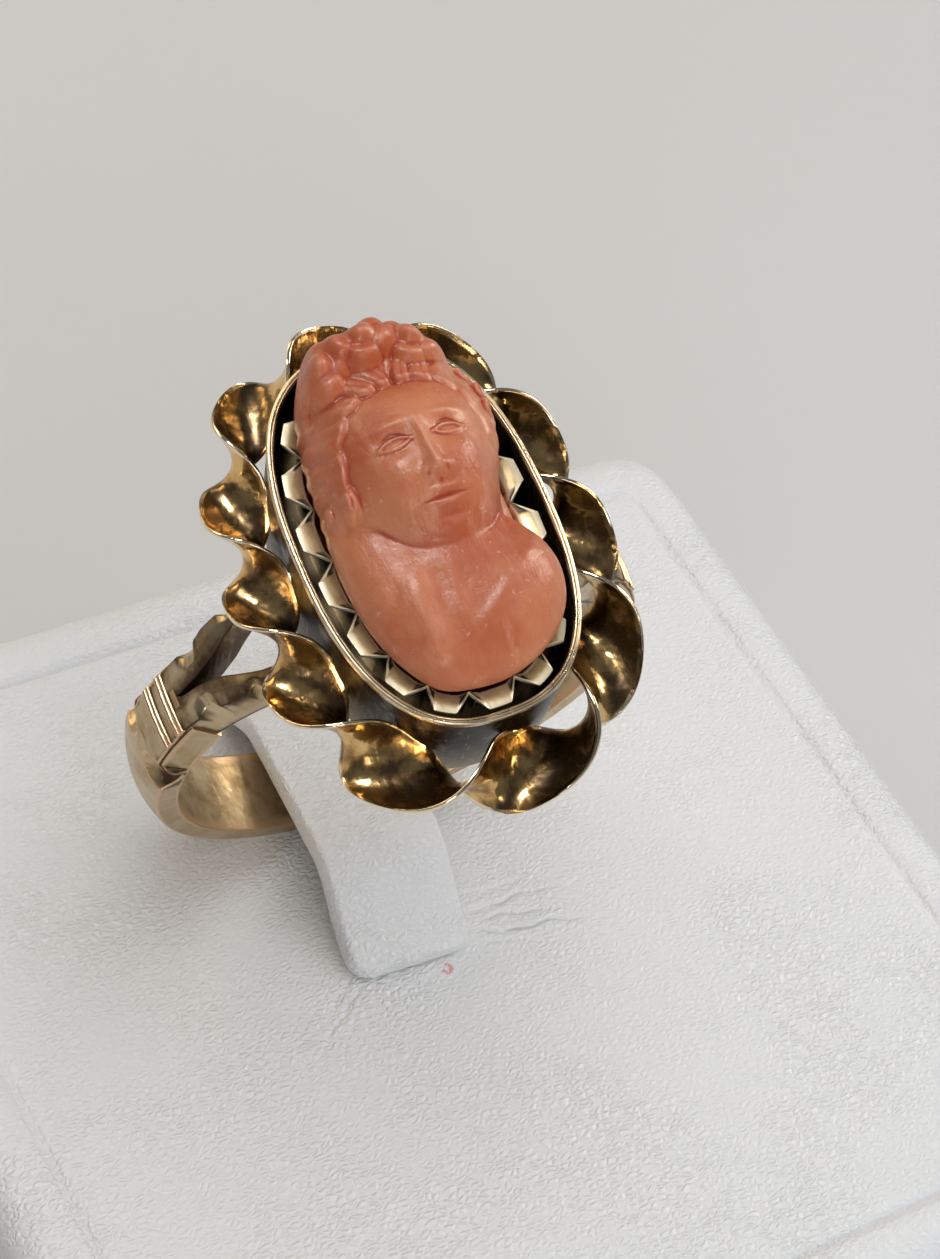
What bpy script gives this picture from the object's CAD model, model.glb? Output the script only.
import math

import bpy
import numpy as np
from mathutils import Matrix, Vector


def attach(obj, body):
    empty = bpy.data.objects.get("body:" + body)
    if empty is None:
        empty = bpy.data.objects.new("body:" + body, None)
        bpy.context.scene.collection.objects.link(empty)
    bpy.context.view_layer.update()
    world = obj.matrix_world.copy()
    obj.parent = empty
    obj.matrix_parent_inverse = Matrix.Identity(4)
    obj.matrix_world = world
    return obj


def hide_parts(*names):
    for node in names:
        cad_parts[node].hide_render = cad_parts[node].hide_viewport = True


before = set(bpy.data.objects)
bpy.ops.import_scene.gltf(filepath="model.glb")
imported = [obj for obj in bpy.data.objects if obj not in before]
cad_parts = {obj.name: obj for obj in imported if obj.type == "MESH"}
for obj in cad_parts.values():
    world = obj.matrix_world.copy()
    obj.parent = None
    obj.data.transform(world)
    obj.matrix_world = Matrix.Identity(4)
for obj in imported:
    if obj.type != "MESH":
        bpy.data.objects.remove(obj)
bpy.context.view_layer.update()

# Sizes in millimetres, the same as in the part's source
MM = 0.001
FINGER_R = 8.65
BAND_W = 3.3
BAND_T = 1.0
BAND_LIFT = 0.2
BAND_CROWN = 0.35
SHOULDER_T = 1.3
SHOULDER_W = 2.35
SHOULDER_LIFT = 0.5
FLARE_W = 4.2
BLOCK_FROM = 16.0
SPLIT_FROM = 33.0
ARM_TO = 69.0
WIRE_R = 0.12
WIRE_LOW = 24.3
WIRE_STEP = 5.4
WIRE_GAP = 0.26
LEAF_AT = 13.0
LEAF_HALF = 5.6
LEAF_T = 0.72
RIM_W = 8.95
RIM_L = 14.3
OVAL_POWER = 2.45
RIM_Z = FINGER_R + 4.75
FOOT_Z = FINGER_R + 0.2
SEAT_Z = FINGER_R + 2.3
WALL_T = 0.26
WALL_TAPER = 0.14
SEAT_W = 2.0
SEAT_T = 0.5
BORDER_TURNS = 11
BORDER_Z = RIM_Z - 2.3
BORDER_BITE = 0.1
BORDER_PHASE = 0.55
BORDER_CROWD = 0.14
RIBBON_W = 2.5
RIBBON_FLARE = 0.5
COLLAR_FOLDS = 18
COLLAR_Z = RIM_Z - 0.32
COLLAR_IN = WALL_T + 0.22
FOLD_IN = COLLAR_IN + 0.78
COLLAR_T = 0.16
COLLAR_SHEET = 0.10
FOLD_SHARE = 0.46
STONE_GAP = 0.06
STONE_EDGE_Z = RIM_Z + 2 * STONE_GAP
HALF_W = 3.65
HALF_L = 6.5
STONE_MID = np.array((0.2, 0.6))
RELIEF_H = 3.3
PAD_W = 42.5
PAD_D = 40.0
PAD_T = 10.0
PAD_CORNER = 2.5
PAD_ROUND = 1.5
TONGUE_W = 5.2
TONGUE_T = 0.9
TONGUE_L = 13.5
TONGUE_GAP = 0.15
TONGUE_FLAT = 4.2
TIP_R = 0.9
RING_X = -2.0
RING_Y = 6.0
RING_LEAN = math.radians(12.5)
RING_ROLL = math.radians(9.5)
RING_TURN = math.radians(-3)
GAP = 0.05
# The pink speck on the pad, in the row's frame, and the soot on the wall, in the ring's own frame
SPECK_AT = (-1.2, -1.3, 10.0)
SOOT_AT = (1.1, 9.6)
# The photograph's height and the camera's focal length in its pixels
PHOTO_H = 1259
FOCAL = 3113.0
SENSOR = 36.0

# How the ring stands on the pad
band_r = FINGER_R + BAND_T + BAND_LIFT
crown_r = (BAND_W ** 2 / 4 + BAND_CROWN ** 2) / (2 * BAND_CROWN)
foot = (band_r - crown_r) * math.cos(RING_LEAN) + crown_r
foot -= BAND_LIFT * math.cos(RING_ROLL) * math.cos(RING_LEAN)
ring_z = PAD_T + foot + GAP
ring_turned = Matrix.Rotation(RING_TURN, 4, "Z") @ Matrix.Rotation(RING_LEAN, 4, "X")
ring_turned = ring_turned @ Matrix.Rotation(-RING_ROLL, 4, "Y")
ring_place = Matrix.Translation((RING_X * MM, RING_Y * MM, ring_z * MM)) @ ring_turned @ Matrix.Scale(MM, 4)


def smooth_step(low, high, value):
    t = np.clip((np.asarray(value, float) - low) / (high - low), 0, 1)
    return t * t * (3 - 2 * t)


def smooth_shade(mesh, sharp=None):
    """Smooth shading, apart from edges sharper than an angle in degrees."""
    mesh.shade_smooth()
    if sharp:
        mesh.set_sharp_from_angle(angle=math.radians(sharp))


def linked(name, data):
    """An object of a mesh, camera or light, linked to the scene."""
    made = bpy.data.objects.new(name, data)
    bpy.context.scene.collection.objects.link(made)
    return made


def new_piece(name, points, faces, place, finish=None, sharp=None):
    """A mesh object from points in millimetres and faces, put in its place."""
    mesh = bpy.data.meshes.new(name)
    mesh.from_pydata(np.asarray(points, float).reshape(-1, 3).tolist(), [], faces)
    mesh.transform(place)
    mesh.validate()
    mesh.update()
    smooth_shade(mesh, sharp)
    if finish:
        mesh.materials.append(finish)
    return linked(name, mesh)


def tube_faces(rings, sides, closed, shift=0, start=0, flat=False):
    """Faces between rings of points: a closed tube's last ring meets the first, moved on by shift,
    and a flat strip's rings aren't closed."""
    faces = []
    for i in range(rings if closed else rings - 1):
        last = closed and i == rings - 1
        for j in range(sides - 1 if flat else sides):
            k = (j + 1) % sides
            if last:
                c, d = (k + shift) % sides, (j + shift) % sides
            else:
                c, d = (i + 1) * sides + k, (i + 1) * sides + j
            faces.append((start + i * sides + j, start + i * sides + k, start + c, start + d))
    return faces


def closed_sweep(rings, start=0):
    """Faces of a tube with both ends closed."""
    count, sides = rings.shape[:2]
    faces = tube_faces(count, sides, False, 0, start)
    faces.append(tuple(start + j for j in reversed(range(sides))))
    faces.append(tuple(start + (count - 1) * sides + j for j in range(sides)))
    return faces


def flipped(faces):
    """The same faces seen from their other side."""
    return [tuple(reversed(f)) for f in faces]


def rounded(loop, radius, steps=3):
    """A closed loop of corners with each corner turned into a small curve."""
    loop = np.asarray(loop, float)
    before = np.roll(loop, 1, axis=0) - loop
    after = np.roll(loop, -1, axis=0) - loop
    len_b = np.linalg.norm(before, axis=1, keepdims=True) + 1e-9
    len_a = np.linalg.norm(after, axis=1, keepdims=True) + 1e-9
    start = loop + before / len_b * np.minimum(radius, len_b * 0.45)
    end = loop + after / len_a * np.minimum(radius, len_a * 0.45)
    out = []
    for t in np.linspace(0, 1, steps):
        out.append((1 - t) ** 2 * start + 2 * t * (1 - t) * loop + t * t * end)
    return np.stack(out, axis=1).reshape(-1, loop.shape[1])


def read_points(mesh, kind="co"):
    out = np.empty(len(mesh.vertices) * 3)
    mesh.vertices.foreach_get(kind, out)
    return out.reshape(-1, 3)


def mark_wear(piece, reach, scale):
    """Writes how hollow and how ridged the surface is at each point, for tarnish and polish."""
    mesh = piece.data
    n = len(mesh.vertices)
    co, nor = read_points(mesh) / MM, read_points(mesh, "normal")
    ed = np.empty(len(mesh.edges) * 2, np.int32)
    mesh.edges.foreach_get("vertices", ed)
    a, b = ed.reshape(-1, 2).T
    d = co[b] - co[a]
    length = np.linalg.norm(d, axis=1) + 1e-6
    count = np.bincount(a, minlength=n) + np.bincount(b, minlength=n) + 1e-9
    bend = np.bincount(a, (d * nor[a]).sum(1) / length ** 2, n)
    bend += np.bincount(b, (-d * nor[b]).sum(1) / length ** 2, n)
    bend = np.clip(bend / count, -6, 6)
    for _ in range(reach):
        bend = 0.5 * bend + 0.5 * (np.bincount(a, bend[b], n) + np.bincount(b, bend[a], n)) / count
    hollow, ridge = np.clip(bend * scale, 0, 1), np.clip(-bend * scale, 0, 1)
    if "shade" in mesh.attributes:
        shade = np.empty(n, np.float32)
        mesh.attributes["shade"].data.foreach_get("value", shade)
        hollow = np.maximum(hollow, shade)
    for name, value in (("hollow", hollow), ("ridge", ridge)):
        layer = mesh.attributes.new(name, "FLOAT", "POINT")
        layer.data.foreach_set("value", value.astype(np.float32))


def stain(piece, shade):
    """Keeps a share of dark tarnish for each point, which the wear is later laid over."""
    layer = piece.data.attributes.new("shade", "FLOAT", "POINT")
    layer.data.foreach_set("value", np.asarray(shade, np.float32))


def in_ring_frame(piece):
    """The piece's points in millimetres in the ring's own frame."""
    back = np.array(ring_place.inverted())
    return (read_points(piece.data) @ back[:3, :3].T + back[:3, 3]).T


# The oval path that the setting's strips follow
def oval_tree():
    """Wraps a strip drawn straight, with its share of the way round as X, round the oval."""
    tree, given, result = group_of(
        "follow_oval",
        [("Strip", "NodeSocketGeometry", None), ("Oval width", "NodeSocketFloat", 1.0),
         ("Oval length", "NodeSocketFloat", 1.0), ("Oval power", "NodeSocketFloat", 2.0),
         ("Finish", "NodeSocketMaterial", None)],
        [("Piece", "NodeSocketGeometry")], "GeometryNodeTree",
    )
    circle = add(tree, "GeometryNodeCurvePrimitiveCircle", Resolution=720, Radius=1.0)
    split = add(tree, "ShaderNodeSeparateXYZ", i0=add(tree, "GeometryNodeInputPosition").outputs[0])
    power = calc(tree, "DIVIDE", 2.0, given.outputs["Oval power"])
    oval = add(tree, "ShaderNodeCombineXYZ")
    for axis, size in ((0, "Oval width"), (1, "Oval length")):
        share = calc(tree, "POWER", calc(tree, "ABSOLUTE", split.outputs[axis]), power)
        signed = calc(tree, "MULTIPLY", share, calc(tree, "SIGN", split.outputs[axis]))
        half = calc(tree, "MULTIPLY", given.outputs[size], 0.5)
        tree.links.new(calc(tree, "MULTIPLY", signed, half), oval.inputs[axis])
    path = add(tree, "GeometryNodeSetPosition", Geometry=circle.outputs[0], Position=oval.outputs[0])
    plan = add(tree, "ShaderNodeSeparateXYZ", i0=add(tree, "GeometryNodeInputPosition").outputs[0])
    sample = add(tree, "GeometryNodeSampleCurve", _mode="FACTOR", _use_all_curves=True,
                 Curves=path.outputs[0], Factor=plan.outputs[0])
    away = add(tree, "ShaderNodeVectorMath", _operation="CROSS_PRODUCT", i0=sample.outputs["Tangent"],
               i1=(0, 0, 1))
    away = add(tree, "ShaderNodeVectorMath", _operation="SCALE", i0=away.outputs[0], Scale=plan.outputs[1])
    upward = add(tree, "ShaderNodeCombineXYZ", i2=plan.outputs[2])
    place = add(tree, "ShaderNodeVectorMath", i0=sample.outputs["Position"], i1=away.outputs[0])
    place = add(tree, "ShaderNodeVectorMath", i0=place.outputs[0], i1=upward.outputs[0])
    wrap = add(tree, "GeometryNodeSetPosition", Geometry=given.outputs["Strip"], Position=place.outputs[0])
    real = add(tree, "GeometryNodeRealizeInstances", i0=wrap.outputs[0])
    paint = add(tree, "GeometryNodeSetMaterial", Geometry=real.outputs[0], Material=given.outputs["Finish"])
    tree.links.new(paint.outputs[0], result.inputs[0])
    return tree


def plain_mesh_of(piece, name):
    """The mesh that the piece's modifiers make."""
    bpy.context.view_layer.update()
    mesh = bpy.data.meshes.new_from_object(piece.evaluated_get(bpy.context.evaluated_depsgraph_get()))
    mesh.name = name
    return mesh


def wrap_round_oval(name, rings, finish, shift=0, inside_out=False, sharp=None, flat=False):
    """rings holds the strip's sections as (share, out, up); the wrapped strip becomes a plain mesh."""
    faces = tube_faces(rings.shape[0], rings.shape[1], True, shift, flat=flat)
    strip = new_piece(name + "_strip", rings, flipped(faces) if inside_out else faces, Matrix.Identity(4))
    modifier = strip.modifiers.new("follow_oval", "NODES")
    modifier.node_group = follow_oval
    values = {"Oval width": RIM_W, "Oval length": RIM_L, "Oval power": OVAL_POWER, "Finish": finish}
    for item in follow_oval.interface.items_tree:
        if item.name in values:
            modifier[item.identifier] = values[item.name]
    mesh = plain_mesh_of(strip, name)
    old = strip.data
    bpy.data.objects.remove(strip)
    bpy.data.meshes.remove(old)
    mesh.transform(ring_place)
    smooth_shade(mesh, sharp)
    return linked(name, mesh)


# Materials
def group_of(name, inputs, outputs, kind="ShaderNodeTree"):
    tree = bpy.data.node_groups.new(name, kind)
    for label, socket_type, value in inputs:
        socket = tree.interface.new_socket(label, in_out="INPUT", socket_type=socket_type)
        if value is not None:
            socket.default_value = value
    for label, socket_type in outputs:
        tree.interface.new_socket(label, in_out="OUTPUT", socket_type=socket_type)
    return tree, tree.nodes.new("NodeGroupInput"), tree.nodes.new("NodeGroupOutput")


def add(tree, kind, **values):
    """A node with its settings, named with a leading underscore, and its inputs, by name or as i and
    a number, set to plain values or linked to other nodes' outputs."""
    node = tree.nodes.new(kind)
    for key, value in values.items():
        if key.startswith("_"):
            setattr(node, key[1:], value)
            continue
        socket = node.inputs[int(key[1:]) if key[1:].isdigit() else key]
        if isinstance(value, bpy.types.NodeSocket):
            tree.links.new(value, socket)
        else:
            socket.default_value = value
    return node


def blend_colour(tree, factor, first, second):
    return add(tree, "ShaderNodeMix", _data_type="RGBA", i0=factor, i6=first, i7=second).outputs[2]


def ramp(tree, value, low, high, to_low=0.0, to_high=1.0):
    node = add(tree, "ShaderNodeMapRange", _interpolation_type="SMOOTHSTEP", i0=value, i1=low, i2=high,
               i3=to_low, i4=to_high)
    return node.outputs[0]


def calc(tree, kind, first, second=0.0):
    return add(tree, "ShaderNodeMath", _operation=kind, i0=first, i1=second).outputs[0]


def surface_noise(tree, where, scale, detail=4.0, rough=0.55):
    node = add(tree, "ShaderNodeTexNoise", Vector=where, Scale=scale, Detail=detail, Roughness=rough)
    return node.outputs["Fac"]


def new_material(name):
    """A material with its tree, its shader and the piece's own coordinates."""
    mat = bpy.data.materials.new(name)
    mat.use_nodes = True
    tree = mat.node_tree
    return mat, tree, tree.nodes["Principled BSDF"], add(tree, "ShaderNodeTexCoord").outputs["Object"]


def wear(tree, kind):
    return add(tree, "ShaderNodeAttribute", _attribute_name=kind).outputs["Fac"]


def set_bump(tree, shader, strength, distance, height):
    bump = add(tree, "ShaderNodeBump", Strength=strength, Distance=distance, Height=height)
    tree.links.new(bump.outputs[0], shader.inputs["Normal"])


def age_group():
    """Tarnish in the hollows, polish on the ridges, blotches and fine scratches."""
    tree, given, result = group_of(
        "age_of_metal",
        [("Where", "NodeSocketVector", (0, 0, 0)), ("Hollow", "NodeSocketFloat", 0.0),
         ("Ridge", "NodeSocketFloat", 0.0), ("Amount", "NodeSocketFloat", 0.5)],
        [("Tarnish", "NodeSocketFloat"), ("Blotch", "NodeSocketFloat"), ("Polish", "NodeSocketFloat"),
         ("Scratch", "NodeSocketFloat"), ("File mark", "NodeSocketFloat"), ("Waver", "NodeSocketFloat")],
    )
    where = given.outputs["Where"]
    blotch = surface_noise(tree, where, 700.0, 6.0, 0.62)
    fine = surface_noise(tree, where, 2200.0, 3.0, 0.6)
    deep = calc(tree, "MULTIPLY", given.outputs["Hollow"], 1.6)
    patches = calc(tree, "MULTIPLY", ramp(tree, blotch, 0.40, 0.66), given.outputs["Amount"])
    deep = calc(tree, "ADD", deep, patches)
    deep = calc(tree, "SUBTRACT", deep, calc(tree, "MULTIPLY", fine, 0.25))
    tarnish = ramp(tree, deep, 0.05, 0.75)
    stretched = add(tree, "ShaderNodeMapping", Vector=where, Scale=(9000.0, 900.0, 2500.0),
                    Rotation=(0.4, 0.9, 0.3)).outputs[0]
    scratch = surface_noise(tree, stretched, 1.0, 2.0, 0.5)
    polish = ramp(tree, given.outputs["Ridge"], 0.06, 0.35)
    upright = add(tree, "ShaderNodeMapping", Vector=where, Scale=(5200.0, 5200.0, 420.0)).outputs[0]
    file_mark = ramp(tree, surface_noise(tree, upright, 1.0, 3.0, 0.65), 0.56, 0.72)
    bent = add(tree, "ShaderNodeVectorMath", _operation="MULTIPLY_ADD",
               i0=add(tree, "ShaderNodeTexNoise", Vector=where, Scale=1300.0, Detail=2.0).outputs["Color"],
               i1=(0.0009, 0.0009, 0.0009), i2=where).outputs[0]
    dents = add(tree, "ShaderNodeTexVoronoi", Vector=bent, Scale=900.0).outputs["Distance"]
    waver = surface_noise(tree, where, 1000.0, 2.0, 0.5)
    waver = calc(tree, "ADD", waver, calc(tree, "MULTIPLY", dents, 0.30))
    for name, value in (("Tarnish", tarnish), ("Blotch", blotch), ("Polish", polish), ("Scratch", scratch),
                        ("File mark", file_mark), ("Waver", waver)):
        tree.links.new(value, result.inputs[name])
    return tree


def gold(name, bright, mid, warm, dark, amount, rough, filed=0.0, waver=0.5, metal=1.0):
    """Old gold: its bright edges, its mid and warm tones, and the dark of its hollows."""
    mat, tree, shader, where = new_material(name)
    age = add(tree, "ShaderNodeGroup", _node_tree=age_of_metal, Where=where, Hollow=wear(tree, "hollow"),
              Ridge=wear(tree, "ridge"), Amount=amount)
    colour = blend_colour(tree, ramp(tree, age.outputs["Blotch"], 0.35, 0.7), mid, warm)
    colour = blend_colour(tree, age.outputs["Tarnish"], colour, dark)
    if filed:
        colour = blend_colour(tree, calc(tree, "MULTIPLY", age.outputs["File mark"], filed), colour, mid)
    colour = blend_colour(tree, age.outputs["Polish"], colour, bright)
    tree.links.new(colour, shader.inputs["Base Color"])
    worn = calc(tree, "ADD", calc(tree, "MULTIPLY", age.outputs["Tarnish"], 0.14),
                calc(tree, "MULTIPLY", age.outputs["Blotch"], 0.12))
    tree.links.new(calc(tree, "ADD", worn, rough), shader.inputs["Roughness"])
    height = calc(tree, "ADD", calc(tree, "MULTIPLY", age.outputs["Scratch"], 0.25),
                  calc(tree, "MULTIPLY", age.outputs["Waver"], waver * 4))
    height = calc(tree, "ADD", height, calc(tree, "MULTIPLY", age.outputs["File mark"], filed * 0.5))
    set_bump(tree, shader, 0.5, 0.00004, height)
    shader.inputs["Metallic"].default_value = metal
    return mat


def coral():
    mat, tree, shader, where = new_material("salmon_coral")
    clouds = surface_noise(tree, where, 260.0, 4.0, 0.6)
    grains = surface_noise(tree, where, 2600.0, 4.0, 0.65)
    veins_at = add(tree, "ShaderNodeMapping", Vector=where, Scale=(1500.0, 260.0, 700.0)).outputs[0]
    veins = surface_noise(tree, veins_at, 1.0, 4.0, 0.6)
    chips = ramp(tree, surface_noise(tree, where, 4200.0, 2.0, 0.5), 0.66, 0.74)
    colour = blend_colour(tree, ramp(tree, clouds, 0.3, 0.72), (0.50, 0.112, 0.042, 1),
                          (0.66, 0.245, 0.112, 1))
    colour = blend_colour(tree, calc(tree, "MULTIPLY", ramp(tree, veins, 0.50, 0.72), 0.55), colour,
                          (0.70, 0.32, 0.19, 1))
    colour = blend_colour(tree, calc(tree, "MULTIPLY", chips, 0.35), colour, (0.80, 0.50, 0.38, 1))
    colour = blend_colour(tree, ramp(tree, wear(tree, "hollow"), 0.02, 0.42), colour, (0.42, 0.055, 0.018, 1))
    worn = calc(tree, "MULTIPLY", ramp(tree, wear(tree, "ridge"), 0.10, 0.6), 0.5)
    colour = blend_colour(tree, worn, colour, (0.74, 0.34, 0.23, 1))
    tree.links.new(colour, shader.inputs["Base Color"])
    tree.links.new(ramp(tree, grains, 0.3, 0.75, 0.32, 0.54), shader.inputs["Roughness"])
    waxy = calc(tree, "ADD", calc(tree, "MULTIPLY", veins, 2.0), calc(tree, "MULTIPLY", clouds, 2.0))
    set_bump(tree, shader, 0.5, 0.00006, calc(tree, "ADD", calc(tree, "MULTIPLY", grains, 1.3), waxy))
    shader.inputs["Subsurface Weight"].default_value = 0.25
    shader.inputs["Subsurface Radius"].default_value = (1.0, 0.28, 0.14)
    shader.inputs["Subsurface Scale"].default_value = 0.0006
    shader.inputs["Coat Weight"].default_value = 0.06
    shader.inputs["Coat Roughness"].default_value = 0.20
    return mat


def leatherette():
    mat, tree, shader, where = new_material("white_leatherette")
    soft = surface_noise(tree, where, 160.0, 3.0, 0.5)
    warped = add(tree, "ShaderNodeVectorMath", _operation="MULTIPLY_ADD",
                 i0=add(tree, "ShaderNodeTexNoise", Vector=where, Scale=900.0, Detail=2.0).outputs["Color"],
                 i1=(0.0005, 0.0005, 0.0005), i2=where).outputs[0]
    across = add(tree, "ShaderNodeMapping", Vector=warped, Scale=(1.0, 1.7, 1.7)).outputs[0]
    seams = add(tree, "ShaderNodeTexVoronoi", _feature="DISTANCE_TO_EDGE", Vector=across, Scale=2700.0)
    pebble = ramp(tree, seams.outputs["Distance"], 0.0, 0.36)
    fine = surface_noise(tree, where, 3600.0, 3.0, 0.6)
    colour = blend_colour(tree, ramp(tree, soft, 0.3, 0.7), (0.77, 0.775, 0.775, 1), (0.81, 0.81, 0.805, 1))
    colour = blend_colour(tree, ramp(tree, pebble, 0.0, 0.35), (0.765, 0.77, 0.775, 1), colour)
    colour = blend_colour(tree, ramp(tree, wear(tree, "hollow"), 0.10, 0.9), colour, (0.56, 0.56, 0.57, 1))
    apart = add(tree, "ShaderNodeVectorMath", _operation="DISTANCE", i0=where,
                i1=[v * MM for v in SPECK_AT]).outputs["Value"]
    ragged = calc(tree, "ADD", apart, calc(tree, "MULTIPLY", fine, 0.0003))
    speck = calc(tree, "MULTIPLY", ramp(tree, ragged, 0.00046, 0.00040), ramp(tree, fine, 0.44, 0.52))
    colour = blend_colour(tree, speck, colour, (0.72, 0.36, 0.36, 1))
    tree.links.new(colour, shader.inputs["Base Color"])
    tree.links.new(ramp(tree, fine, 0.3, 0.7, 0.42, 0.6), shader.inputs["Roughness"])
    pressed = calc(tree, "MULTIPLY", pebble, ramp(tree, soft, 0.35, 0.62, 0.40, 1.10))
    height = calc(tree, "ADD", pressed, calc(tree, "MULTIPLY", fine, 0.6))
    height = calc(tree, "ADD", height, calc(tree, "MULTIPLY", soft, 1.2))
    set_bump(tree, shader, 0.7, 0.00006, height)
    shader.inputs["Sheen Weight"].default_value = 0.1
    return mat


age_of_metal = age_group()
follow_oval = oval_tree()
shank_gold = gold("champagne_gold", (0.66, 0.45, 0.28, 1), (0.56, 0.45, 0.29, 1), (0.42, 0.28, 0.12, 1),
                  (0.095, 0.058, 0.032, 1), 0.28, 0.24, filed=0.25, waver=0.45, metal=0.92)
border_gold = gold("tarnished_gold", (0.95, 0.80, 0.58, 1), (0.84, 0.58, 0.25, 1), (0.64, 0.34, 0.11, 1),
                   (0.15, 0.10, 0.055, 1), 0.60, 0.09, waver=1.0)
wall_gold = gold("filed_gold", (0.90, 0.74, 0.52, 1), (0.27, 0.20, 0.12, 1), (0.10, 0.065, 0.035, 1),
                 (0.020, 0.015, 0.010, 1), 0.78, 0.22, filed=0.7, waver=0.3)
collar_gold = gold("satin_gold", (0.97, 0.85, 0.60, 1), (0.84, 0.65, 0.37, 1), (0.52, 0.37, 0.17, 1),
                   (0.020, 0.020, 0.012, 1), 0.22, 0.34, waver=0.45, metal=0.65)
salmon_coral = coral()
white_leatherette = leatherette()


# Finger band with its two shoulders
def around_circle(radius, lift, angle):
    """Distance from the finger's axis of a circle whose middle is lifted."""
    return lift * np.sin(angle) + np.sqrt(radius ** 2 - (lift * np.cos(angle)) ** 2)


shoulder_r = FINGER_R + SHOULDER_T - SHOULDER_LIFT * math.sin(math.radians(WIRE_LOW))


def band_section(side_angle):
    """Section of the band at an angle above the finger's side, as (across, from the finger's axis)."""
    a = math.radians(side_angle)
    block = float(smooth_step(BLOCK_FROM - 0.7, BLOCK_FROM + 0.5, side_angle))
    top_band = around_circle(band_r, BAND_LIFT, a)
    top_block = around_circle(shoulder_r, SHOULDER_LIFT, a)
    top = top_band + (top_block - top_band) * block
    crown = BAND_CROWN + (0.06 - BAND_CROWN) * block
    half_out = BAND_W / 2 + (SHOULDER_W / 2 - BAND_W / 2) * block
    wire = 0.0
    for pair in (0, 1):
        for s in (-1, 1):
            away = (side_angle - WIRE_LOW - pair * WIRE_STEP) * math.pi / 180 * top - s * WIRE_GAP / 2
            wire = max(wire, WIRE_R ** 2 - away ** 2)
    wire = math.sqrt(wire) if wire > 0 else 0
    from_leaf = (side_angle - LEAF_AT) / (LEAF_HALF * (0.50 if side_angle > LEAF_AT else 0.85))
    loop = []
    for m in np.linspace(-1, 1, 25):
        cut = LEAF_T * max(0.0, 1 - from_leaf ** 2 - ((1 - abs(m)) / 0.72) ** 2) ** 0.9
        loop.append((m * half_out, top - crown * m * m + wire - cut))
    edge = loop[-1][1] - wire
    ledge = (half_out + 0.005 * block, edge - 0.10)
    side = [(half_out + 0.12 * block, edge - 0.14), (BAND_W / 2, FINGER_R)]
    inner = held_edges(side + [(-y, r) for y, r in reversed(side)])[:-2]
    loop = np.vstack([loop, [ledge], inner, [(-ledge[0], ledge[1])]])
    return rounded(loop, 0.05 + 0.04 * (1 - block))


def held_edges(loop, share=0.2):
    """Two more points on each straight side, so that the polish stays near its ends."""
    loop = np.asarray(loop, float)
    after = np.roll(loop, -1, axis=0)
    out = [loop, loop + (after - loop) * share, loop + (after - loop) * (1 - share)]
    return np.stack(out, axis=1).reshape(-1, 2)


def swept_round_finger(stations, sections):
    """Rings of points at angles round the finger, from sections as (across, from the finger's axis)."""
    rings = []
    for angle, section in zip(stations, sections):
        c, s = math.cos(math.radians(angle)), math.sin(math.radians(angle))
        rings.append(np.stack([section[:, 1] * c, section[:, 0], section[:, 1] * s], axis=1))
    return np.array(rings)


# Rows of the raised scallops of an arm: share of its length, and of its half width outside and inside
arm_rows = np.array([
    [0.00, 1.00, 0.04], [0.10, 0.97, 0.08], [0.18, 0.72, 0.11], [0.22, 0.70, 0.14], [0.28, 0.94, 0.20],
    [0.36, 1.00, 0.28], [0.46, 1.00, 0.44], [0.54, 0.84, 0.54], [0.60, 1.00, 0.60], [0.75, 1.00, 0.66],
    [1.00, 1.00, 0.70],
])


def arm_section(side_angle, side):
    share = max(0.0, (side_angle - SPLIT_FROM) / (ARM_TO - SPLIT_FROM))
    half = (SHOULDER_W + (FLARE_W - SHOULDER_W) * share) / 2
    i = min(int(np.searchsorted(arm_rows[:, 0], share, side="right")) - 1, len(arm_rows) - 2)
    t = float(smooth_step(arm_rows[i, 0], arm_rows[i + 1, 0], share))
    outer = half * (arm_rows[i, 1] + (arm_rows[i + 1, 1] - arm_rows[i, 1]) * t)
    inner = half * float(np.interp(share, arm_rows[:, 0], arm_rows[:, 2]))
    top = around_circle(shoulder_r, SHOULDER_LIFT, math.radians(side_angle))
    dip = 0.3 * (half - outer) / half
    low_outer = half * 0.96 + 0.36 * (1 - 0.5 * share)
    loop = [
        (inner, FINGER_R), (low_outer, FINGER_R), (low_outer - 0.03, FINGER_R + 0.28),
        ((low_outer + outer) / 2 - 0.04, (FINGER_R + 0.28 + top - dip) / 2 - 0.05), (outer, top - dip - 0.05),
        ((outer + inner) / 2, top + 0.04), (inner, top - 0.05),
    ]
    loop = [(side * y, r) for y, r in loop]
    if side < 0:
        loop.reverse()
    return rounded(loop, 0.07)


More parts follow.
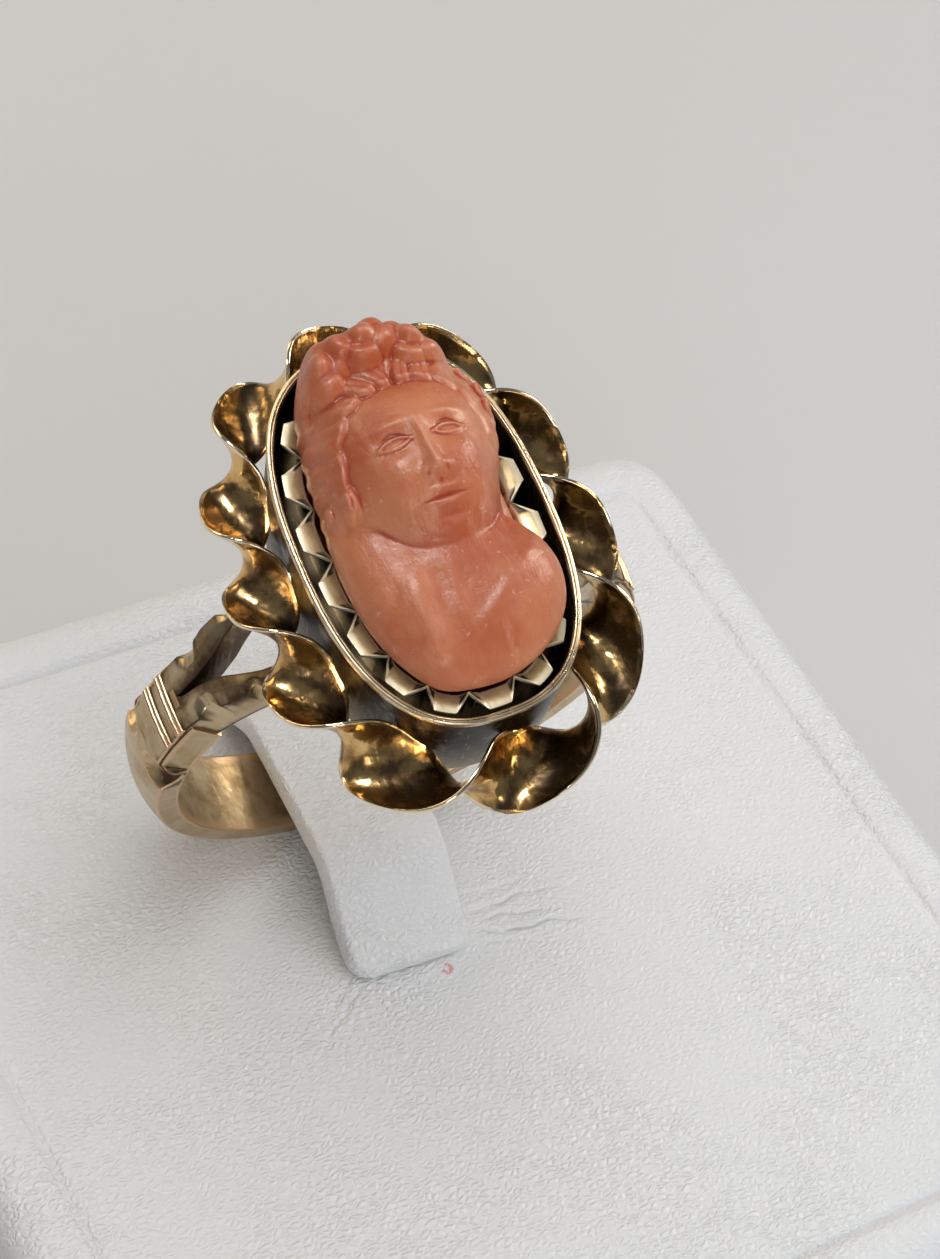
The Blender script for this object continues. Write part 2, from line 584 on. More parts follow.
def finger_band():
    right = np.concatenate([np.arange(-90.0, 6.0, 2.0), np.arange(6.0, SPLIT_FROM + 0.01, 0.15)])
    angles = np.concatenate([-180 - right[::-1], right[1:]])
    heights = np.concatenate([right[::-1], right[1:]])
    swept = [swept_round_finger(angles, [band_section(h) for h in heights])]
    faces = closed_sweep(swept[0])
    climb = np.arange(SPLIT_FROM - 2.5, ARM_TO + 0.01, 0.3)
    for mirrored in (False, True):
        for side in (-1, 1):
            start = sum(rings.shape[0] * rings.shape[1] for rings in swept)
            sections = [arm_section(h, side) for h in climb]
            rings = swept_round_finger(180 - climb if mirrored else climb, sections)
            made = closed_sweep(rings, start)
            faces += flipped(made) if mirrored else made
            swept.append(rings)
    points = np.vstack([rings.reshape(-1, 3) for rings in swept])
    piece = new_piece("finger_band", points, faces, ring_place, shank_gold, 50)
    x, y, z = in_ring_frame(piece)
    height = np.degrees(np.arctan2(z, np.abs(x)))
    from_axis = np.hypot(x, z)
    deep = band_r - 0.25 - from_axis
    leaf = smooth_step(5.2, 3.6, np.abs(height - LEAF_AT + 0.9)) * smooth_step(0.0, 0.35, deep)
    leaf *= smooth_step(0.50, 0.9, np.abs(y)) * (from_axis > FINGER_R + 0.12)
    within = smooth_step(FINGER_R + 0.06, FINGER_R + 0.02, from_axis)
    between = smooth_step(SPLIT_FROM, SPLIT_FROM + 3, height)
    between *= smooth_step(FINGER_R + 1.2, FINGER_R + 0.9, from_axis)
    between *= smooth_step(1.1, 0.7, np.abs(y) / (0.35 + 1.1 * smooth_step(SPLIT_FROM, ARM_TO, height)))
    plate = smooth_step(BLOCK_FROM, BLOCK_FROM + 1, height)
    plate *= smooth_step(SPLIT_FROM + 1, SPLIT_FROM - 2, height) * (from_axis > shoulder_r + 0.02)
    plate *= smooth_step(SHOULDER_W / 2 - 0.3, SHOULDER_W / 2 - 0.05, np.abs(y))
    stain(piece, np.clip(0.40 * leaf + 0.15 * within + 0.5 * between + 0.28 * plate, 0, 1))
    return piece


# Oval setting wall with its double-lined rim and the seat inside
def setting_wall():
    bead = WALL_T / 4
    corners = [
        (-WALL_T - WALL_TAPER, FOOT_Z), (-WALL_T - WALL_TAPER, SEAT_Z - SEAT_T), (-SEAT_W, SEAT_Z - SEAT_T),
        (-SEAT_W, SEAT_Z), (-WALL_T - WALL_TAPER, SEAT_Z), (-WALL_T, RIM_Z - WALL_T),
        (-WALL_T + bead / 2, RIM_Z - bead * 1.2), (-bead * 2.8, RIM_Z), (-bead * 2.2, RIM_Z - bead * 0.2),
        (-bead * 1.9, RIM_Z - bead * 1.1), (-bead * 1.6, RIM_Z - bead * 0.2), (-bead, RIM_Z),
        (0.02, RIM_Z - bead * 0.8), (0.03, RIM_Z - WALL_T), (-0.02, RIM_Z - WALL_T * 1.15),
        (-WALL_TAPER / 3, RIM_Z - WALL_T * 1.7), (-WALL_TAPER, FOOT_Z + 0.1), (-WALL_TAPER - 0.04, FOOT_Z),
    ]
    section = rounded(corners, 0.035)
    stations = 300
    rings = [np.c_[np.full(len(section), i / stations), section] for i in range(stations)]
    piece = wrap_round_oval("setting_wall", np.array(rings), wall_gold, sharp=60)
    x, y, z = in_ring_frame(piece)
    below = smooth_step(RIM_Z - 0.22, RIM_Z - 0.7, z)
    soot = np.exp(-(((x - SOOT_AT[0]) / 1.1) ** 2 + ((z - SOOT_AT[1]) / 1.3) ** 2)) * (y < 0)
    way = np.arctan2(y / RIM_L, x / RIM_W)
    uneven = 0.5 + 0.5 * np.sin(way * 7 + 0.8) * np.sin(way * 3 + 2.0)
    stain(piece, below * (0.40 + 0.25 * uneven) + soot * 0.7)
    return piece


# Ribbon border, half a turn in each lobe
def twisted_border():
    """A cupped ribbon that turns over once for every two lobes; marks are the shares of its half width."""
    lobe_steps = 44
    marks = np.concatenate([[-1, -0.985, -0.93, -0.89], np.linspace(-0.84, 0.84, 13), [0.89, 0.93, 0.985, 1]])
    count = BORDER_TURNS * lobe_steps
    lobes = np.arange(count) / lobe_steps
    crowd = BORDER_CROWD * np.cos(2 * np.pi * lobes / BORDER_TURNS - math.radians(30))
    share = (lobes + BORDER_PHASE + crowd) / BORDER_TURNS
    turn = np.pi * lobes - 0.42 * np.sin(2 * np.pi * lobes) / 2
    t = np.linspace(0, 2 * np.pi, 2881)
    x = RIM_W / 2 * np.sign(np.cos(t)) * np.abs(np.cos(t)) ** (2 / OVAL_POWER)
    y = RIM_L / 2 * np.sign(np.sin(t)) * np.abs(np.sin(t)) ** (2 / OVAL_POWER)
    way = np.concatenate([[0], np.cumsum(np.hypot(np.diff(x), np.diff(y)))])
    along_y = np.interp(share % 1, way / way[-1], y)
    half = RIBBON_W / 2 - RIBBON_FLARE / 4 * along_y / (RIM_L / 2)
    cup = 0.52 * np.cos(turn) ** 2 + 0.06
    edge = np.interp(np.abs(marks), [0.0, 0.88, 0.925, 0.985, 1.0], [0.075, 0.070, 0.105, 0.10, 0.065])
    # Each section goes over the ribbon's top and back along its underside
    m = np.concatenate([marks, marks[::-1]])
    thick = np.concatenate([edge, -edge[::-1]])
    turn, half, cup = turn[:, None], half[:, None], cup[:, None]
    along = half * m
    out = half - WALL_TAPER / 2 - BORDER_BITE + along * np.cos(turn) - thick * np.sin(turn)
    up = BORDER_Z + along * np.sin(turn) + thick * np.cos(turn) - cup * (1 - np.abs(m) ** 2.2)
    # A negative share and a share past 1 wrap round to the same place on the oval
    rings = np.stack([np.broadcast_to(share[:, None] % 1.0, out.shape), out, up], axis=2)
    return wrap_round_oval("twisted_border", rings, border_gold, len(marks), inside_out=True, sharp=70)


# Toothed collar between the wall and the stone
def toothed_collar():
    # Rows down the strip: how far in a flat and a fold's tip lie, the height, and a flat's half width
    levels = [
        (COLLAR_IN, FOLD_IN, COLLAR_Z, 0.37),
        (COLLAR_IN + 0.30, FOLD_IN + 0.01, COLLAR_Z - 0.02, 0.43),
        (COLLAR_IN + 0.58, FOLD_IN + 0.02, COLLAR_Z - 0.06, 0.48),
        (COLLAR_IN + 0.70, FOLD_IN + 0.04, COLLAR_Z - 0.13, 0.50),
        (COLLAR_IN + 0.76, FOLD_IN + 0.05, COLLAR_Z - 0.5, 0.50),
        (FOLD_IN - 0.05, FOLD_IN + 0.05, SEAT_Z + STONE_GAP, 0.50),
    ]
    flat, tip, height, half = np.array(levels).T
    half = half * (1 - FOLD_SHARE)
    flats = [(0.5 + side * half, 0.0) for side in (-1.0, -0.96, -0.4, 0.4, 0.96, 1.0)]
    up = [(0.5 + half + (0.5 - half) * fold, fold) for fold in (0.06, 0.5, 0.96)]
    down = [(1.0 + (0.5 - half) * (1 - fold), fold) for fold in (0.96, 0.5, 0.06)]
    profile = flats + up + [(np.ones(len(levels)), 1.0)] + down
    rings = []
    for i in range(COLLAR_FOLDS):
        for share, fold in profile:
            uneven = 0.03 * math.sin(7.3 * i) * math.cos(math.pi * (share[0] - 0.5)) ** 2
            out = -(flat + (tip - flat) * fold)
            rings.append(np.c_[((i + share) / COLLAR_FOLDS) % 1.0, out + uneven, height + uneven / 2])
    kinds = np.array([fold for share, fold in profile] * COLLAR_FOLDS)
    piece = wrap_round_oval("toothed_collar", np.array(rings), collar_gold, flat=True)
    depth = np.array([0.0, 0.25, 0.5, 0.7, 0.9, 1.0])
    in_fold = smooth_step(0.0, 0.3, kinds)
    shade = np.maximum(in_fold[:, None] * smooth_step(0.0, 0.15, depth)[None], depth[None] ** 4)
    stain(piece, shade.reshape(-1))
    thick = piece.modifiers.new("strip", "SOLIDIFY")
    thick.thickness = COLLAR_SHEET * MM
    thick.offset = 1.0
    thick.use_even_offset = True
    soft = piece.modifiers.new("edges", "BEVEL")
    soft.width = 0.02 * MM
    soft.segments = 2
    soft.limit_method = "ANGLE"
    soft.angle_limit = math.radians(35)
    mesh = plain_mesh_of(piece, "toothed_collar_strip")
    piece.modifiers.clear()
    old = piece.data
    piece.data = mesh
    bpy.data.meshes.remove(old)
    smooth_shade(mesh, 30)
    return piece


# Coral bust, drawn in shares of its half width and half length: its outline as (across, along)
carving = np.array([
    [0.72, -0.06], [0.90, 0.20], [0.96, 0.46], [0.78, 0.66], [0.56, 0.81], [0.34, 0.95],
    [0.08, 1.00], [-0.19, 0.96], [-0.47, 0.97], [-0.66, 0.83], [-0.82, 0.62], [-0.91, 0.37],
    [-0.95, 0.12], [-0.98, -0.12], [-0.98, -0.34], [-0.93, -0.56], [-0.80, -0.77], [-0.56, -0.96],
    [-0.20, -1.02], [0.18, -1.01], [0.58, -0.91], [0.87, -0.73], [0.93, -0.50], [0.66, -0.29],
])
# The face's middle line and chin, and a fifth of its width and a third of its height
FACE_X = 0.02
CHIN_Y = -0.34
FIFTH = 1.36 / 5
THIRD = 0.9 / 3


def smooth_loop(rows, fine):
    """A closed curve through the rows, with fine points for each."""
    out = []
    n = len(rows)
    for i in range(n):
        a, b, c, d = (rows[(i + k) % n] for k in (-1, 0, 1, 2))
        for k in range(fine):
            t = k / fine
            bend = (2 * a - 5 * b + 4 * c - d) * t ** 2 + (3 * b - a - 3 * c + d) * t ** 3
            out.append(b + ((c - a) * t + bend) / 2)
    return np.array(out)


def dome(x, y, row):
    """A rounded mass: its middle, half width and half length, height and squareness."""
    cx, cy, w, l, h, p = row
    r = np.abs((x - cx) / w) ** p + np.abs((y - cy) / l) ** p
    return h * np.sqrt(np.clip(1 - r, 0, 1))


def soft_form(u, v, row):
    """A soft swelling or hollow, placed in the face's fifths and thirds: middle, width, length and height."""
    fx, fy, w, l, h = row
    return h * np.exp(-((u - fx) / w) ** 2 - ((v - fy) / l) ** 2)


def rosette(x, y, cx, cy, size, height, petals, turn):
    """A small open flower: soft petals round a sunk ring and a round middle."""
    dx, dy = (x - cx) * HALF_W / HALF_L, y - cy
    r = np.hypot(dx, dy) / size
    a = np.arctan2(dy, dx)
    lobes = np.abs(np.cos(petals * a / 2 + turn)) ** 0.7
    body = np.clip(1 - (r / (0.86 + 0.14 * lobes)) ** 3.2, 0, 1) ** 0.40
    crease = 1 - 0.035 * (1 - lobes) * smooth_step(0.25, 0.6, r)
    middle = 0.035 * np.exp(-((r / 0.20) ** 2)) - 0.075 * np.exp(-(((r - 0.34) / 0.15) ** 2))
    return height * body * crease + middle * (r < 0.95)


def soft_top(first, second, power=14):
    """The higher of two surfaces, run softly into each other."""
    return (np.clip(first, 0.01, 2) ** power + np.clip(second, 0.01, 2) ** power) ** (1 / power)


def eye_lids(u, v, side):
    """Lids as two soft arcs that meet at the eye's corners, with the crease over the upper one."""
    eu = (u - side * 0.98) / 0.56
    bow = np.clip(1 - eu * eu, 0, 1)
    window = smooth_step(1.25, 0.9, np.abs(eu))
    upper = np.exp(-(((v - 1.735 - 0.105 * bow) / 0.030) ** 2))
    crease = np.exp(-(((v - 1.745 - 0.185 * bow) / 0.032) ** 2))
    lower = np.exp(-(((v - 1.735 + 0.085 * bow) / 0.030) ** 2))
    return window * (0.026 * upper + 0.015 * lower - 0.016 * crease * bow)


def relief(x, y):
    masses = [
        (0.04, -0.62, 1.10, 0.58, 0.49, 2.6), (-0.50, -0.30, 0.62, 0.40, 0.44, 2.2),
        (0.02, -0.36, 0.50, 0.30, 0.54, 2.0), (0.00, 0.30, 1.05, 0.56, 0.66, 2.8),
        (-0.05, 0.74, 0.72, 0.24, 0.72, 2.6), (0.34, -0.66, 0.80, 0.40, 0.55, 2.2),
        (-0.48, -0.60, 0.60, 0.44, 0.48, 2.0),
    ]
    base = (0.3 ** 7 + sum(dome(x, y, row) ** 7 for row in masses)) ** (1 / 7)

    # The head is an egg, wide at the temples and narrower at the jaw
    egg = [(0.02, 0.22, 0.88, 0.50, 0.88, 2.5), (0.02, 0.08, 0.70, 0.50, 0.90, 2.2)]
    head = sum(dome(x, y, row) ** 7 for row in egg) ** (1 / 7)
    u = (x - FACE_X) / FIFTH
    v = (y - CHIN_Y) / THIRD
    forms = [
        (0, 2.40, 1.50, 0.45, 0.035), (0, 1.62, 0.20, 0.50, 0.060), (0, 1.20, 0.26, 0.20, 0.070),
        (0, 1.10, 0.46, 0.11, 0.045), (-0.38, 1.08, 0.18, 0.10, 0.020), (0.38, 1.08, 0.18, 0.10, 0.020),
        (-0.98, 1.76, 0.60, 0.21, -0.085), (0.98, 1.76, 0.60, 0.21, -0.085),
        (-0.98, 1.73, 0.42, 0.11, 0.062), (0.98, 1.73, 0.42, 0.11, 0.062),
        (-1.05, 2.08, 0.66, 0.09, 0.028), (1.05, 2.08, 0.66, 0.09, 0.028),
        (-1.30, 1.10, 0.60, 0.40, 0.030), (1.30, 1.10, 0.60, 0.40, 0.030),
        (0, 0.90, 0.12, 0.09, -0.012),
        (0, 0.76, 0.52, 0.070, 0.038), (0, 0.53, 0.44, 0.075, 0.042), (0, 0.645, 0.60, 0.028, -0.036),
        (0, 0.37, 0.50, 0.07, -0.020), (0, 0.15, 0.55, 0.18, 0.048),
    ]
    on_face = smooth_step(0.15, 0.5, head)
    face = head + sum(soft_form(u, v, row) for row in forms) * on_face
    for side in (-1, 1):
        face += eye_lids(u, v, side) * on_face
        face -= 0.02 * np.exp(-((u - side * 0.34) / 0.09) ** 2 - ((v - 1.04) / 0.05) ** 2)

    # Hair drawn back in soft strands from a middle parting, and ended at the ears
    from_face = (np.abs((x - FACE_X) / 0.78) ** 2.4 + np.abs((y - 0.09) / 0.50) ** 2.4) ** (1 / 2.4)
    angle = np.arctan2(y + 0.05, (x - FACE_X) * 0.9)
    side_of = np.sign(x - FACE_X)
    flow = angle * 13 + side_of * (2.6 * from_face + 0.9 * np.sin(from_face * 8 + angle * 2))
    strand = np.abs(np.sin(flow)) ** 0.6
    fine_strand = np.abs(np.sin(flow * 2 + 0.7)) ** 0.8
    parting = np.exp(-(((x - FACE_X) / 0.03) ** 2)) * smooth_step(0.35, 0.5, y)
    in_hair = smooth_step(0.88, 0.99, from_face + 0.035 * strand)
    in_hair *= smooth_step(-0.10, 0.03, y + 0.03 * np.sin(x * 11))
    crown = dome(x, y, (0.0, 0.20, 1.0, 0.72, 0.84, 2.4))
    hair = crown - 0.012 + 0.042 * strand + 0.014 * fine_strand - 0.04 * parting
    high = soft_top(face, base)
    high = high * (1 - in_hair) + soft_top(high * 0.96, hair) * in_hair

    # Ears half under the hair
    for side in (-1, 1):
        du, dv = (u - side * 2.86) / 0.36, (v - 1.32) / 0.42
        r = np.hypot(du, dv)
        shell = np.clip(1 - r ** 3, 0, 1) ** 0.5
        high = soft_top(high, 0.66 * shell * (1 - 0.16 * np.exp(-(((r - 0.45) / 0.2) ** 2))))

    # Curls down both sides of the head
    curls = [
        (-0.80, 0.56, 0.085), (-0.88, 0.43, 0.080), (-0.93, 0.31, 0.078), (-0.96, 0.19, 0.078),
        (-0.97, 0.07, 0.070), (0.80, 0.57, 0.080), (0.87, 0.46, 0.075), (0.90, 0.35, 0.075),
        (0.89, 0.24, 0.075), (0.86, 0.13, 0.070),
    ]
    for cx, cy, size in curls:
        dx, dy = (x - cx) * HALF_W / HALF_L, y - cy
        r = np.hypot(dx, dy) / size
        curl = 0.66 * np.clip(1 - r ** 2, 0, 1) ** 0.45
        curl *= 1 + 0.07 * np.cos(r * 7 - np.arctan2(dy, dx))
        high = soft_top(high, curl)

    # Wreath of three open flowers
    flowers = [
        (-0.58, 0.77, 0.255, 0.88, 5, 0.3), (0.38, 0.79, 0.240, 0.88, 5, 2.0),
        (-0.10, 0.85, 0.240, 0.99, 5, 1.1),
    ]
    for row in flowers:
        high = soft_top(high, rosette(x, y, *row), 20)

    # Shawl over the right shoulder and across the breast, with folds beside its edge
    edge_line = -0.40 - 0.30 * np.clip(0.75 - x, 0, 2) - 0.10 * np.cos(np.clip(x * 2.2, -1.6, 1.6))
    below = (edge_line - y) * 0.9
    cloth = smooth_step(-0.05, 0.05, below)
    folds = np.sin(below * 34 + 1.2 * np.sin(x * 2.6 + 0.5)) * np.exp(-np.clip(below, 0, 1) / 0.20)
    high = high + cloth * (0.016 + 0.013 * folds * smooth_step(1.0, 0.6, np.abs(x)))
    # Gathered cloth of the left shoulder
    gather = smooth_step(-0.02, -0.20, x) * smooth_step(-0.36, -0.50, y) * (1 - cloth)
    high = high + gather * 0.018 * np.sin(x * 17 + 5 * y + 1.5 * np.sin(y * 6))
    high = high + 0.012 * np.sin(x * 5.0 + 2.0 * y) * np.sin(y * 9.0 + 1.0 - x) * smooth_step(-0.1, -0.4, y)
    return high


def coral_cameo():
    outline = smooth_loop(carving, 16)
    pole = np.array([FACE_X, 0.12])
    hairy = smooth_step(-0.06, 0.04, outline[:, 1]) * smooth_step(0.70, 0.58, outline[:, 1])
    notches = 0.5 + 0.5 * np.cos(outline[:, 1] * 2 * math.pi / 0.12)
    outline = outline * (1 - 0.022 * hairy * notches)[:, None]
    shares = np.concatenate([1 - 0.07 * np.linspace(0, 1, 28) ** 1.6, np.linspace(0.93, 0, 152)[1:-1]])
    base_in = FOLD_IN + COLLAR_T * 4 / 3 + STONE_GAP
    base_a, base_b = RIM_W / 2 - base_in, RIM_L / 2 - base_in
    edge = STONE_MID + outline * (HALF_W, HALF_L)
    size = np.abs(edge[:, 0] / base_a) ** OVAL_POWER + np.abs(edge[:, 1] / base_b) ** OVAL_POWER
    base = edge * (size ** (-1 / OVAL_POWER))[:, None]

    def level(plan, z):
        return np.c_[plan, np.full(len(plan), z)]

    foot_z = SEAT_Z + STONE_GAP
    rings = [level(base * 0.02, foot_z), level(base * 0.98, foot_z), level(base, foot_z + 0.05),
             level(base, STONE_EDGE_Z - 0.05), level(base * 0.3 + edge * 0.7, STONE_EDGE_Z)]
    for share in [*shares, 0.002]:
        q = pole + (outline - pole) * share
        power = 6 + 8 * smooth_step(0.55, 0.75, q[:, 1])
        drop = np.sqrt(np.clip(1 - share ** power, 0, 1))
        z = STONE_EDGE_Z + STONE_GAP + RELIEF_H * drop * relief(q[:, 0], q[:, 1])
        rings.append(np.c_[STONE_MID + q * (HALF_W, HALF_L), z])
    rings = np.array(rings)
    return new_piece("coral_cameo", rings, closed_sweep(rings), ring_place, salmon_coral)


# Padded display block
def rounded_oblong(half_x, half_y, corner, n):
    """Points round an oblong with rounded corners, evenly by share of its length."""
    corner = max(min(corner, half_x - 1e-4, half_y - 1e-4), 1e-4)
    points = []
    for cx, cy, start in ((1, 1, 0), (-1, 1, 90), (-1, -1, 180), (1, -1, 270)):
        for a in np.radians(start + np.linspace(0, 90, 17)):
            x, y = cx * (half_x - corner), cy * (half_y - corner)
            points.append((x + corner * math.cos(a), y + corner * math.sin(a)))
    points = np.array(points + points[:1])
    way = np.concatenate([[0], np.cumsum(np.hypot(*np.diff(points, axis=0).T))])
    at = np.linspace(0, way[-1], n, endpoint=False)
    return np.stack([np.interp(at, way, points[:, 0]), np.interp(at, way, points[:, 1])], axis=1)


# Creases from the tongue's corners: side, direction, offset, length and depth
creases = [
    (1, 0.97, -0.22, 0.25, 7.0, 0.075),
    (1, 0.975, -0.16, 0.75, 5.4, 0.055),
    (1, 0.98, -0.08, 1.3, 6.4, 0.065),
    (1, 0.94, -0.34, -0.15, 3.6, 0.05),
    (1, 0.99, -0.02, 1.9, 4.6, 0.04),
    (-1, -0.78, -0.62, 0.0, 4.6, 0.075),
    (-1, -0.84, -0.54, -0.30, 3.6, 0.055),
    (-1, -0.70, -0.71, 0.3, 3.2, 0.05),
]
HEM_IN = 2.65


def pad_top_shape(x, y, inset):
    """Height of the leatherette's top above or below its plane."""
    z = 0.05 * np.exp(-((inset - 2.0) / 0.4) ** 2) - 0.03 * smooth_step(2.3, 2.7, inset)
    z = z - 0.18 * np.exp(-((inset - HEM_IN) / 0.17) ** 2) + 0 * x
    end = RING_Y - TONGUE_L / 2
    for sx, px, py, start, reach, deep in creases:
        ox, oy = RING_X + sx * TONGUE_W / 2, end + 0.2
        dx, dy = x - ox, y - oy
        norm = math.hypot(px, py)
        along = (dx * px + dy * py) / norm
        across = (-dx * py + dy * px) / norm - start
        across = across - 0.09 * np.sin(along * 1.9 + start * 7) - 0.05 * np.sin(along * 4.3 + start * 3)
        fade = smooth_step(-0.3, 0.5, along) * smooth_step(reach, reach * 0.3, along)
        z -= deep * np.exp(-((across / 0.09) ** 2)) * fade
        z += deep * 0.4 * np.exp(-(((across - 0.22) / 0.14) ** 2)) * fade
    z += 0.02 * np.sin(x * 0.9 + 0.4 * y) * np.sin(y * 0.7 - 0.2 * x)
    return z - 0.06


def display_pad():
    n = 480
    insets = np.concatenate([np.arange(1.62, 3.4, 0.12), np.linspace(3.5, PAD_D / 2 - 0.25, 150)])
    rings = [(0.0, 0.6), (0.25, 0.12), (0.6, 0.0)]
    rings += [(z, 0.0) for z in np.linspace(1.2, PAD_T - PAD_ROUND, 10)]
    rings += [(PAD_T - PAD_ROUND + PAD_ROUND * math.sin(a), PAD_ROUND * (1 - math.cos(a)))
              for a in np.radians(np.linspace(9, 90, 10))]
    rings += [(PAD_T, inset) for inset in insets]
    made = []
    for z, inset in rings:
        xy = rounded_oblong(PAD_W / 2 - inset, PAD_D / 2 - inset, PAD_CORNER - inset * 0.6, n)
        zz = np.full(n, z)
        if z >= PAD_T - 1e-6:
            zz = zz + pad_top_shape(xy[:, 0], xy[:, 1], inset)
        else:
            zz = zz - 0.06 * smooth_step(PAD_T - PAD_ROUND, PAD_T, z)
        made.append(np.c_[xy, zz])
    made = np.array(made)
    return new_piece("display_pad", made, closed_sweep(made), Matrix.Scale(MM, 4), white_leatherette)


def pad_tongue():
    """The strap rises from the pad, passes over the band and comes down again."""
    band_rise = foot + GAP - FINGER_R * math.cos(RING_LEAN) + BAND_W / 2 * math.sin(RING_LEAN)
    under = band_rise + FINGER_R - math.sqrt(FINGER_R ** 2 - TONGUE_W ** 2 / 4) + TONGUE_GAP
    # The leaning band reaches backwards, and the back half is moved to clear its edge
    band_back = FINGER_R * math.sin(RING_LEAN) + BAND_W / 2 * math.cos(RING_LEAN)
    back = band_back + TONGUE_GAP - TONGUE_FLAT / 2
    near_tip = 0.12 * np.linspace(0, 1, 16) ** 2
    t = np.concatenate([-1 + near_tip, np.linspace(-0.88, 0.88, 131)[1:-1], 1 - near_tip[::-1]])
    y = t * TONGUE_L / 2
    from_end = TONGUE_L / 2 - np.abs(y)
    share = np.clip((np.abs(y) - TONGUE_FLAT / 2) / (TONGUE_L / 2 - 0.6 - TONGUE_FLAT / 2), 0, 1)
    low = under * (1 - share * share * (3 - 2 * share))
    thick = TONGUE_T * (0.5 + 0.5 * smooth_step(0.0, TIP_R, from_end))
    slope = np.gradient(low, y)
    place = y + back * smooth_step(-TONGUE_FLAT / 2, TONGUE_FLAT / 2, y)
    half = TONGUE_W / 2
    tip = np.maximum(0, 1 - from_end / TIP_R)
    narrow = 1 - TIP_R * (1 - np.sqrt(1 - tip ** 2)) / half
    loop = [(-half, 0.0), (-half, 0.45), (-half + 0.12, 0.93), (-half * 0.5, 1.0), (0, 1.0),
            (half * 0.5, 1.0), (half - 0.12, 0.93), (half, 0.45), (half, 0.0), (0, 0.0)]
    across, up = rounded(loop, 0.16, 4).T
    rings = np.array([
        np.c_[across * narrow[i], place[i] - slope[i] * (up - 0.5) * thick[i] * 0.5,
              PAD_T + GAP + low[i] + 0.02 + up * (thick[i] - 0.02)]
        for i in range(len(t))
    ])
    turned = Matrix.Translation((RING_X * MM, RING_Y * MM, 0)) @ Matrix.Rotation(RING_TURN, 4, "Z")
    faces = flipped(closed_sweep(rings))
    return new_piece("pad_tongue", rings, faces, turned @ Matrix.Scale(MM, 4), white_leatherette, 60)


def outward(piece):
    """Turns the piece's faces outwards if the volume that they close is negative."""
    mesh = piece.data
    mesh.calc_loop_triangles()
    n = len(mesh.loop_triangles)
    tri = np.empty(n * 3, np.int32)
    mesh.loop_triangles.foreach_get("vertices", tri)
    a, b, c = read_points(mesh)[tri.reshape(-1, 3)].transpose(1, 0, 2)
    volume = (a * np.cross(b, c)).sum() / 6
    if volume < 0:
        mesh.flip_normals()
    print(piece.name, "triangles", n, "volume mm3", round(volume * 1e9, 2))


# Each piece with its node, its slot and how its wear is marked: how far it spreads and how strong it is
pieces = [
    (finger_band(), "gold_mount", "gold", 2, 0.35),
    (setting_wall(), "gold_mount", "gold", 2, 0.35),
    (twisted_border(), "gold_mount", "gold", 6, 1.1),
    (toothed_collar(), "toothed_collar", "collar_gold", 1, 0.1),
    (coral_cameo(), "coral_cameo", "coral", 4, 0.22),
    (display_pad(), "display_pad", "leatherette", 2, 0.4),
    (pad_tongue(), "pad_tongue", "leatherette", 2, 0.3),
]
for piece, node, slot, reach, scale in pieces:
    outward(piece)
    mark_wear(piece, reach, scale)
    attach(piece, "root")
    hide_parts(node)

# Floor
floor_paint, floor_tree, floor_shader, floor_where = new_material("pale_floor")
floor_shade = blend_colour(floor_tree, surface_noise(floor_tree, floor_where, 12.0), (0.62, 0.61, 0.60, 1),
                           (0.66, 0.65, 0.64, 1))
floor_tree.links.new(floor_shade, floor_shader.inputs["Base Color"])
floor_shader.inputs["Roughness"].default_value = 0.7
corners = [(-400, -400, -0.02), (400, -400, -0.02), (400, 400, -0.02), (-400, 400, -0.02)]
floor = new_piece("floor", corners, [(0, 1, 2, 3)], Matrix.Scale(MM, 4), floor_paint)

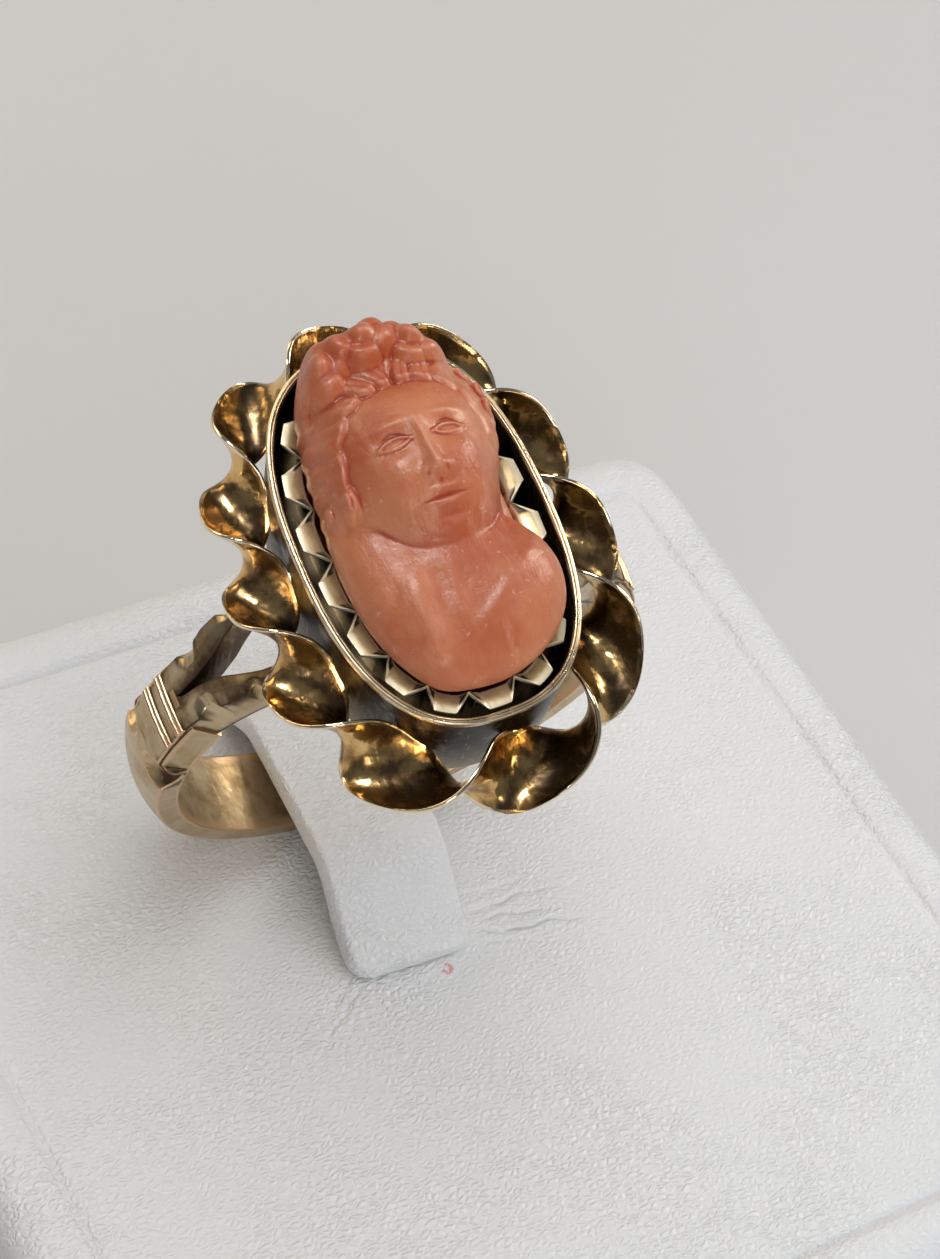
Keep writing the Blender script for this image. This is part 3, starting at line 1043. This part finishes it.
# Camera at the photograph's angle, in the ring's own frame first
camera_data = bpy.data.cameras.new("camera")
camera = linked("camera", camera_data)
camera_data.sensor_fit = "VERTICAL"
camera_data.sensor_height = SENSOR
camera_data.lens = FOCAL / PHOTO_H * SENSOR
camera_data.clip_start = 0.005
camera_data.clip_end = 5
seen_right = np.array((0.91199, -0.38886, 0.13059))
seen_down = np.array((-0.31073, -0.86272, -0.39895))
forward = np.array((0.26780, 0.32326, -0.90763))
stand = np.array((-27.36, -36.99, 106.16))
facing = Matrix(np.stack([seen_right, -seen_down, -forward], axis=1).tolist()).to_4x4()
camera.matrix_world = ring_place @ Matrix.Translation(stand.tolist()) @ facing
# The ring's place carries the step from millimetres to metres
camera.scale = (1, 1, 1)
bpy.context.scene.camera = camera


# Soft studio light
aim = (-0.002, 0.004, 0.02)


def area_light(name, place, size, power, colour):
    data = bpy.data.lights.new(name, "AREA")
    data.shape = "RECTANGLE"
    data.size, data.size_y = size
    data.energy = power
    data.color = colour
    light = linked(name, data)
    light.location = place
    light.rotation_euler = (Vector(aim) - Vector(place)).to_track_quat("-Z", "Y").to_euler()
    return light


# Wide soft lights that don't show in the gold, and glints that only the gold shows
for name, place, size, power in (
    ("softbox", (0.14, 0.02, 0.42), (0.70, 0.60), 2.05),
    ("front_soft", (-0.12, -0.42, 0.22), (0.40, 0.30), 0.85),
):
    area_light(name, place, size, power, (0.98, 0.99, 1.0)).visible_glossy = False
for name, place, size, power, colour in (
    ("key", (-0.13, 0.10, 0.36), (0.09, 0.12), 0.80, (1.0, 0.98, 0.95)),
    ("right_glint", (0.34, 0.02, 0.20), (0.12, 0.20), 0.90, (1.0, 0.93, 0.80)),
    ("front_glint", (-0.20, -0.34, 0.16), (0.10, 0.06), 0.26, (1.0, 0.95, 0.85)),
):
    area_light(name, place, size, power, colour).visible_diffuse = False
area_light("back_glow", (-0.10, 0.34, 0.16), (0.34, 0.10), 0.36, (1.0, 0.78, 0.48))

world = bpy.data.worlds.new("studio")
world.use_nodes = True
world.node_tree.nodes["Background"].inputs[0].default_value = (0.80, 0.82, 0.86, 1)
world.node_tree.nodes["Background"].inputs[1].default_value = 0.15
bpy.context.scene.world = world
bpy.context.scene.view_settings.view_transform = "Standard"
